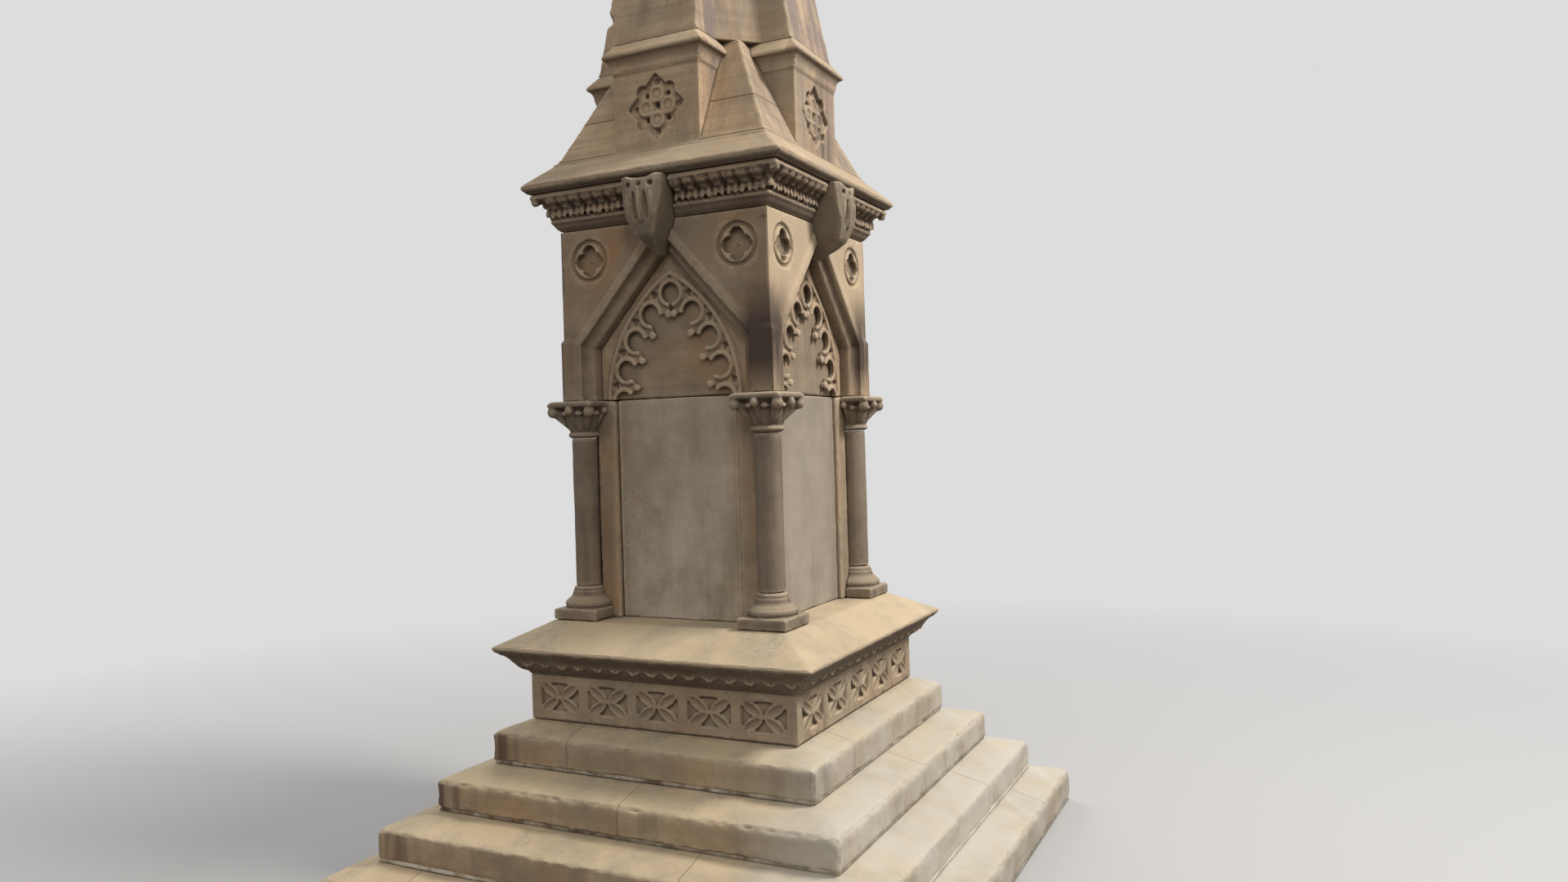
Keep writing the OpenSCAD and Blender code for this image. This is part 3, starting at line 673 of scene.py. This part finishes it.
# %% [markdown]
# ## Frieze
# Each side of the pedestal has five sunk panels, and in each of them four pointed leaves cross from the
# middle to the corners. The CAD leaves are flat and slim. The carved ones are broader, and hollowed so that
# their edges stand up as thin rims. So a long shallow dish is cut out of every CAD leaf, and the same dish
# out of a fuller leaf that is laid over it. One panel is made, set in a row and turned to the other sides.

# %% Dishing the leaves
low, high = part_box("frieze")
frieze_front, frieze_middle, frieze_bed = low.y, (low.z + high.z) / 2, low.z
panels, panel_pitch, panel_width, panel_height = 5, 0.290, 0.232, 0.140
lean = math.degrees(math.atan2(panel_height, panel_width))
quarters = [
    ((-2 * panel_pitch + side * 0.060, frieze_middle + rise * 0.0365), (0, -lean * side * rise, 0))
    for side, rise in ((1, 1), (-1, 1), (-1, -1), (1, -1))
]


def leaf_dish(place, turn):
    return lobe((place[0], frieze_front, place[1]), (0.055, 0.009, 0.017), turn)


stone = rough_block("frieze")
dishes = join(*[leaf_dish(*quarter) for quarter in quarters])
cut(stone, all_round(in_a_row(dishes, panels, panel_pitch)))
print(4 * panels * len(quarters), "leaves dished")

# %% Laying fuller leaves over them
fuller = []
for place, turn in quarters:
    leaf = lobe((place[0], frieze_front + 0.012, place[1]), (0.067, 0.012, 0.027), turn)
    cut(leaf, leaf_dish(place, turn))
    fuller.append(leaf)
join(stone, all_round(in_a_row(join(*fuller), panels, panel_pitch)))
soften(stone, 0.005, 1, covered_by(0.72, frieze_bed))
lay(age(stone, bite=0.004, swell=0.002, keep=0.17), "pedestal_stone", "frieze")

# %% [markdown]
# ## Pedestal cap
# Under the broad sloping cap runs a hollow with a trail of worn leaves that lean one way and then the
# other. Only their backs are left, so each is a single long lobe.

# %% Pedestal cap
stone = rough_block("pedestal_cap")
trail = join(
    lobe((-0.735, -0.822, 1.137), (0.042, 0.005, 0.013), (-38, 30, 0)),
    lobe((-0.682, -0.826, 1.142), (0.036, 0.005, 0.010), (-38, -34, 0)),
)
pairs_of_leaves, trail_pitch = 15, 0.1055
join(stone, all_round(in_a_row(trail, pairs_of_leaves, trail_pitch)))
soften(stone, 0.006, 1, covered_by(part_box("lower_die")[1].x - lap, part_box("pedestal_cap")[0].z))
lay(age(stone, bite=0.008, swell=0.003, keep=0.13), "pedestal_stone", "pedestal_cap")

# %% [markdown]
# ## Lower stage
# The die is a plain block with a column standing in each corner, and a framed tablet of finer stone let
# into every side. The tablets stay bare. Four stones of one kind are softened once, and each copy is
# then aged in its own place, so that no two are alike.

# %% Four of a kind
def four(first, names, slot, voxel, sheltered=None, **ageing):
    """Soften one carved block, turn it to the other sides, and age each stone by itself."""
    soften(first, voxel, 1, sheltered)
    stones = [first] + [turned(first, 90 * i, "worn_" + name) for i, name in enumerate(names) if i]
    for stone, name in zip(stones, names):
        lay(age(stone, **ageing), slot, name)


def on_sides(part):
    return [side + "_" + part for side in ("front", "right", "back", "left")]


def at_corners(part):
    return [corner + "_" + part for corner in ("front_right", "back_right", "back_left", "front_left")]


# %% The die
stone = rough_block("lower_die")
soften(stone, 0.008, 2)
lay(age(stone, bite=0.006, swell=0.002, keep=0.1), "wall_stone", "lower_die")

# %% Tablets with a bead down each side
low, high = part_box("front_tablet")
tablet = rough_block("front_tablet")
bead_inset, bead_radius, bead_short = 0.012, 0.011, 0.004
for x in (low.x + bead_inset, high.x - bead_inset):
    bpy.ops.mesh.primitive_cylinder_add(
        vertices=10, radius=bead_radius, depth=high.z - low.z - bead_short,
        location=(x, low.y + 0.001, (low.z + high.z) / 2),
    )
    bpy.ops.object.transform_apply()
    join(tablet, bpy.context.object)
four(tablet, on_sides("tablet"), "tablet_stone", 0.006, bite=0.004, swell=0.003, keep=0.12)

# %% [markdown]
# ## Columns
# Each corner has a turned base on a square plinth, a round shaft and a leafy capital. A cone fills the
# capital's bell, broad leaves lean out of it, and fuller balls and stalks are laid over those of the CAD
# model. They are only put where the column is clear of the wall.

# %% Bases and shafts
bases, shafts = at_corners("base"), at_corners("shaft")
four(rough_block(bases[0]), bases, "column_stone", 0.0045, bite=0.004, swell=0.002, keep=0.35)
four(rough_block(shafts[0]), shafts, "column_stone", 0.008, bite=0.002, swell=0.003, keep=0.5)

# %% The bell of a capital
capitals = at_corners("capital")
column_axis = 0.535
capital = rough_block(capitals[0])
foot = Vector((column_axis, -column_axis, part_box(capitals[0])[0].z))


def round_the_bell(angle, reach, height):
    """A point at an angle, a distance and a height from the foot of the bell."""
    turn = math.radians(angle)
    return foot + Vector((reach * math.cos(turn), reach * math.sin(turn), height))


bpy.ops.mesh.primitive_cone_add(
    vertices=24, radius1=0.070, radius2=0.112, depth=0.125, location=foot + Vector((0, 0, 0.087)))
bpy.ops.object.transform_apply()
bell = bpy.context.object
cut(bell, rough_block("upper_core", "core_copy"))
join(capital, bell)
print("bell stands on", tuple(round(c, 3) for c in foot))

# %% Leaves, balls and stalks of a capital
for angle in (-157.5, -112.5, -67.5, -22.5, 22.5, 67.5):
    blade = lobe(round_the_bell(angle, 0.086, 0.080), (0.010, 0.027, 0.052), (0, 19, angle))
    tip = lobe(round_the_bell(angle, 0.116, 0.128), (0.013, 0.022, 0.014), (0, 40, angle))
    join(capital, blade, tip)
ball_top = 0.167
corner_ball, side_ball = (0.161, 0.030), (0.128, 0.024)
balls = [(-135, *corner_ball), (-45, *corner_ball), (45, *corner_ball), (-90, *side_ball), (0, *side_ball)]
for angle, reach, size in balls:
    ball = lobe(round_the_bell(angle, reach, ball_top - size), (size, size, size))
    stalk = lobe(round_the_bell(angle, reach * 0.76, 0.128), (0.050, 0.021, 0.026), (0, -30, angle))
    join(capital, ball, stalk)
four(capital, capitals, "column_stone", 0.0045, bite=0.003, swell=0.002, keep=0.45)

# %% [markdown]
# ## Upper stage
# A gabled stone faces each side of the core. Under its moulding hangs cusped tracery: a ring of open
# foils with a ball on every cusp, and a three-cornered eye drilled between each two foils and the arch.
# The eyes are cut with three-sided rods that point to the middle of the arch, and the rolls are swollen a
# little, because they were left full and round.

# %% Core and gables
stone = rough_block("upper_core")
soften(stone, 0.012, 1)
lay(age(stone, bite=0.003, swell=0.002, keep=0.1), "wall_stone", "upper_core")
gables = on_sides("gable")
four(rough_block(gables[0]), gables, "wall_stone", 0.005, bite=0.004, swell=0.002, keep=0.15)

# %% Eyes of the tracery
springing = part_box("front_tracery")[0].z - 0.018
arch_centre, foil_radius, eye_radius, foil_step = 0.347, 0.644, 0.700, 14.2
tracery = rough_block("front_tracery")
eyes = []
for mirror in (1, -1):
    for place in (0.5, 1.5, 2.5, 3.5):
        angle = math.acos(arch_centre / foil_radius) - math.radians(foil_step * place)
        x = mirror * (-arch_centre + eye_radius * math.cos(angle))
        bpy.ops.mesh.primitive_cylinder_add(
            vertices=3, radius=0.027, depth=0.034, rotation=facing_front,
            location=(x, -0.512, springing + eye_radius * math.sin(angle)),
        )
        eye_cut = bpy.context.object
        eye_cut.rotation_euler.y = math.pi - mirror * (math.pi / 2 + angle)
        bpy.ops.object.transform_apply()
        eyes.append(eye_cut)
print(len(eyes), "eyes")
cut(tracery, join(*eyes))

# %% Fuller rolls
finish_with(tracery, "REMESH", mode="VOXEL", voxel_size=0.004)
front = all_of(tracery.data.vertices, "co", 3, np.float32)[:, 1]
mark(tracery, "rolls", front < -0.5115)
finish_with(tracery, "DISPLACE", vertex_group="rolls", mid_level=0.0, strength=0.004)
four(tracery, on_sides("tracery"), "tracery_stone", 0.005, bite=0.003, swell=0.002, keep=0.32)

# %% [markdown]
# ## Shields
# A thick bowed shield hangs over the point of each gable. Its top edge is scooped between two raised
# corners, and its face has three soft upright bars with slots between them and a drill hole above each.

# %% Shields
shield_bow = 0.2


def fall_back(x):
    """How far the bowed face lies behind its middle."""
    return shield_bow - math.sqrt(shield_bow * shield_bow - x * x)


shield = rough_block("front_shield")
cut(shield, lobe((0, -0.770, 3.545), (0.088, 0.060, 0.030)))
bars, slots = [], []
for x, tall in ((-0.064, 0.070), (0.0, 0.086), (0.062, 0.078)):
    bars.append(lobe((x, -0.773 + fall_back(x), 3.385), (0.019, 0.019, tall), (7, 0, 0)))
    slots.append(lobe((x, -0.786 + fall_back(x), 3.484), (0.013, 0.024, 0.012)))
for x in (-0.032, 0.031):
    slots.append(lobe((x, -0.778 + fall_back(x), 3.375), (0.011, 0.026, 0.080), (7, 0, 0)))
cut(shield, join(*slots))
join(shield, *bars)
four(shield, on_sides("shield"), "shield_stone", 0.0045, bite=0.005, swell=0.003, keep=0.3)

# %% [markdown]
# ## Cornice and roof
# A row of upright leaves fills the hollow of the cornice, and every leaf curls over at its tip under the
# drip. One leaf is five lobes: the two halves of the blade, the two of the curl and a knob under it. Two
# rows stand on each side, to the left and right of the shield, and a broader leaf covers each mitre. The
# stone between the leaves is sunk, and a fine noise makes the leaves unlike each other. The roof course
# above them is plain.

# %% One cornice leaf, and rows of it
def cornice_leaf(x):
    return join(
        lobe((x - 0.016, -0.641, 3.442), (0.019, 0.013, 0.046), (-14, 7, 0)),
        lobe((x + 0.016, -0.641, 3.442), (0.019, 0.013, 0.046), (-14, -7, 0)),
        lobe((x - 0.012, -0.686, 3.483), (0.025, 0.026, 0.016), (-22, 8, 0)),
        lobe((x + 0.012, -0.686, 3.483), (0.025, 0.026, 0.016), (-22, -8, 0)),
        lobe((x, -0.662, 3.462), (0.024, 0.017, 0.016)),
    )


row, pitch, outermost, innermost = 7, 0.0735, 0.5905, 0.1495
left_row = in_a_row(cornice_leaf(-outermost), row, pitch)
leaves = join(left_row, in_a_row(cornice_leaf(innermost), row, pitch))
mitre_leaf = join(
    lobe((0.642, -0.642, 3.444), (0.022, 0.016, 0.036), (-12, 0, 45)),
    lobe((0.690, -0.690, 3.484), (0.030, 0.026, 0.017), (-20, 0, 45)),
)
cornice = rough_block("cornice")
join(cornice, all_round(join(leaves, mitre_leaf)))
soften(cornice, 0.0055, 1)

# %% Sinking and roughening the leaves
reach = np.abs(all_of(cornice.data.vertices, "co", 3, np.float32))
outward, along, height = reach[:, :2].max(1), reach[:, :2].min(1), reach[:, 2]
leafy = (outward > 0.622) & (outward < 0.720) & (height > 3.400) & (height < 3.502)
from_rib = np.abs((along - innermost + pitch / 2) % pitch - pitch / 2)
between = leafy & (from_rib > pitch / 2 - 0.006) & (height > 3.425) & (height < 3.460)
mark(cornice, "sunk", between)
press(cornice, "sunk", -0.005)
mark(cornice, "leafy", leafy)
press(cornice, "leafy", -0.005, noise("ragged", 0.030, 1, 1.3))
lay(age(cornice, bite=0.004, swell=0.003, keep=0.25), "cornice_stone", "cornice")

# %% Roof
stone = rough_block("roof")
soften(stone, 0.008, 1, covered_by(0.62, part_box("roof")[0].z))
lay(age(stone, bite=0.008, swell=0.004, keep=0.18), "cornice_stone", "roof")

# %% [markdown]
# ## Spire
# Four short arms carry the foot of the spire. In a sunk lozenge on each of them sits a flower with four
# dished petals. The sides of the lozenge swell into a half round, and drill holes stand between the petals.
# The spire itself is plain, with deep inner corners. Rain and frost have worked on it, and a piece has
# broken out of one arris low on its left arm.

# %% Carving a flower into an arm
arm = rough_block("front_arm")
middle, floor_y = 3.904, -0.600 + 0.020
flower, sinkings, holes = [], [], [rod((0, floor_y, middle + 0.006), 0.013, 0.05)]
for x, z in ((0, 1), (1, 0), (0, -1), (-1, 0)):
    flower.append(petal_ring((x * 0.064, floor_y - 0.005, middle + z * 0.064), 0.036, 0.0115))
    flower.append(lobe((x * 0.064, floor_y, middle + z * 0.064), (0.034, 0.008, 0.034)))
    sinkings.append(lobe((x * 0.124, floor_y - 0.004, middle + z * 0.124), (0.017, 0.022, 0.017)))
for x, z in ((1, 1), (1, -1), (-1, -1), (-1, 1)):
    sinkings.append(rod((x * 0.079, floor_y - 0.017, middle + z * 0.079), 0.031, 0.040))
    holes.append(rod((x * 0.060, floor_y, middle + z * 0.060), 0.012, 0.05))
print(len(flower), "lumps and", len(holes), "holes in one flower")
cut(arm, join(*sinkings))
cut(arm, join(*holes))
join(arm, *flower)

# %% The four arms
spire_foot = 3.715


def arm_beds(place):
    """Where an arm meets the broaches, and the bed below it."""
    return (place[:, 1] > -0.57) | (place[:, 2] < spire_foot)


four(arm, on_sides("arm"), "spire_stone", 0.005, arm_beds, bite=0.006, swell=0.003, keep=0.2)


# %% Spire
def spire_beds(place):
    """Where the broaches run into the arms, and the bed between base and spire."""
    height = place[:, 2]
    by_the_arms = (height < 4.25) & (np.abs(place[:, :2]).min(1) < 0.275)
    return by_the_arms | (height < spire_foot) | (np.abs(height - 4.247) < 0.012)


for course, voxel in (("spire_base", 0.007), ("lower_spire", 0.009), ("upper_spire", 0.011)):
    stone = rough_block(course)
    if course == "lower_spire":
        cut(stone, lobe((-0.570, -0.250, 4.562), (0.092, 0.085, 0.036), (0, 14, 10)))
    soften(stone, voxel, 1, spire_beds)
    lay(age(stone, bite=0.006, swell=0.003, keep=0.15), "spire_stone", course)

# %% [markdown]
# ## Floor, backdrop and light
# A pale floor that fades into the backdrop keeps the eye on the stone. It throws little light back up, so
# that undersides stay dark as they do out of doors. One large soft lamp high on the right plays the sun,
# the front lies in the light of the sky, and a weak lamp from the front shows the relief of the carving.
# Camera and mirror rays see the plain backdrop, all other rays the studio light.

# %% Floor
pick(camera)
bpy.ops.mesh.primitive_circle_add(vertices=96, radius=60, fill_type="NGON", location=(0, 0, -0.002))
floor = bpy.context.object
floor.name = "pale_floor"
bpy.ops.object.transform_apply()
floor_finish = bpy.data.materials.new("pale_floor")
floor_finish.use_nodes = True
tree = floor_finish.node_tree
tree.nodes.remove(tree.nodes["Principled BSDF"])


def seen_directly(tree):
    """1 for rays that show the backdrop to the camera, straight or by a mirror."""
    path = put(tree, "LightPath").outputs
    mirrored = sums(tree, "MAXIMUM", path["Is Glossy Ray"], path["Is Transmission Ray"])
    return sums(tree, "MAXIMUM", path["Is Camera Ray"], mirrored)


BACKDROP = (0.72, 0.72, 0.72, 1)
pale = mixed(tree, seen_directly(tree), (0.13, 0.12, 0.11, 1), (0.44, 0.44, 0.44, 1))
matte = put(tree, "BsdfDiffuse", {"Color": pale})
glow = put(tree, "Emission", {"Color": BACKDROP, "Strength": 1.0})
here = put(tree, "TexCoord").outputs["Object"]
from_axis = put(tree, "VectorMath", {0: here}, operation="LENGTH").outputs["Value"]
far = times(tree, ranged(tree, from_axis, 3.0, 9.0), seen_directly(tree))
blend = put(tree, "MixShader", {0: far, 1: matte.outputs[0], 2: glow.outputs[0]})
tree.links.new(blend.outputs[0], tree.nodes["Material Output"].inputs["Surface"])
floor.data.materials.append(floor_finish)
print("floor", floor.name)

# %% Sky and lamps
sky = bpy.data.worlds.new("studio_sky")
sky.use_nodes = True
bpy.context.scene.world = sky
tree = sky.node_tree
sky_light = mixed(tree, seen_directly(tree), (0.63, 0.615, 0.60, 1), BACKDROP)
tree.links.new(sky_light, tree.nodes["Background"].inputs["Color"])


def lamp(name, place, target, size, power, colour):
    """A round soft lamp that looks at a target."""
    data = bpy.data.lights.new(name, "AREA")
    data.shape, data.size, data.energy, data.color = "DISK", size, power, colour
    made = bpy.data.objects.new(name, data)
    bpy.context.scene.collection.objects.link(made)
    made.location = place
    made.rotation_euler = (Vector(target) - Vector(place)).to_track_quat("-Z", "Y").to_euler()
    print("lamp", name, power, "W")


lamp("sun_side", (7.9, 1.2, 9.9), (0, 0, 2.4), 2.6, 1250, (1.0, 0.97, 0.92))
lamp("front_relief", (5.5, -9.0, 9.0), (0, 0, 2.6), 2.5, 190, (1.0, 0.97, 0.92))
lamp("back_fill", (-7.0, 8.0, 7.0), (0, 0, 2.5), 7.0, 500, (0.97, 0.98, 1.0))
